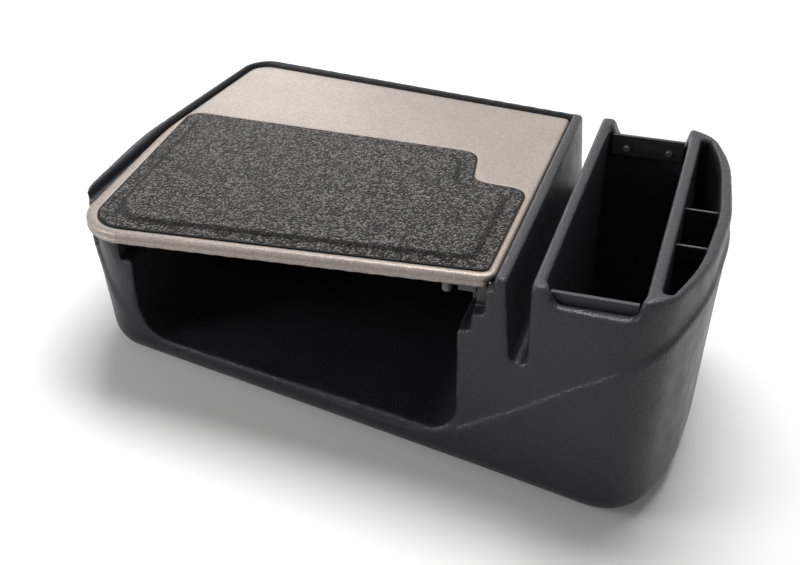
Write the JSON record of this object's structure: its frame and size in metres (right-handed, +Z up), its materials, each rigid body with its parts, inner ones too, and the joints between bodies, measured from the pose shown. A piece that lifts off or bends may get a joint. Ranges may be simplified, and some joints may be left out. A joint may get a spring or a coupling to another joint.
{
  "type": "car desk",
  "caption": "Moulded car-seat desk with a slide-out work tray over a storage bay, a hanging-file bay, a clipboard slot and a pen organizer.",
  "frame": {"origin": "middle of the base plate, on the flat base that the desk stands on", "axes": "+X to the right towards the file bay, +Y to the back away from the user, +Z up, square to the base"},
  "size_m": [0.6068, 0.4143, 0.2471],
  "materials": {
    "charcoal_plastic": "fine grained charcoal moulding",
    "dark_plastic": "plain dark grey moulding",
    "glide_plastic": "slick wear strip",
    "silver_tray": "warm silver metallic paint with a fine sparkle",
    "grip_rubber": "black pebble grain",
    "grey_plastic": "plain mid grey",
    "rail_metal": "satin",
    "screw_steel": "plated"
  },
  "bodies": {
    "body": {"body_shell": "charcoal_plastic", "base_plate": "charcoal_plastic", "base_screws": "screw_steel", "left_glide_strip": "glide_plastic", "right_glide_strip": "glide_plastic", "left_stop_block": "dark_plastic", "right_stop_block": "dark_plastic", "stop_screws": "screw_steel", "lock_keeper": "screw_steel", "front_file_rail": "rail_metal", "rear_file_rail": "rail_metal", "rail_screws": "screw_steel", "front_cup_divider": "charcoal_plastic", "rear_cup_divider": "charcoal_plastic"},
    "tray": {"desktop_tray": "silver_tray", "grip_mat": "grip_rubber", "left_tray_runner": "dark_plastic", "right_tray_runner": "dark_plastic", "runner_screws": "screw_steel", "lock_housing": "dark_plastic", "housing_screws": "screw_steel"},
    "lock": {"lock_bolt": "grey_plastic"}
  },
  "joints": [
    {"name": "tray_slide", "type": "slide", "parent": "body", "child": "tray", "axis": [0, -1, 0], "range_m": [0, 0.17]},
    {"name": "lock_slide", "type": "slide", "parent": "tray", "child": "lock", "axis": [0.989, 0, 0.1478], "range_m": [0, 0.008]}
  ]
}
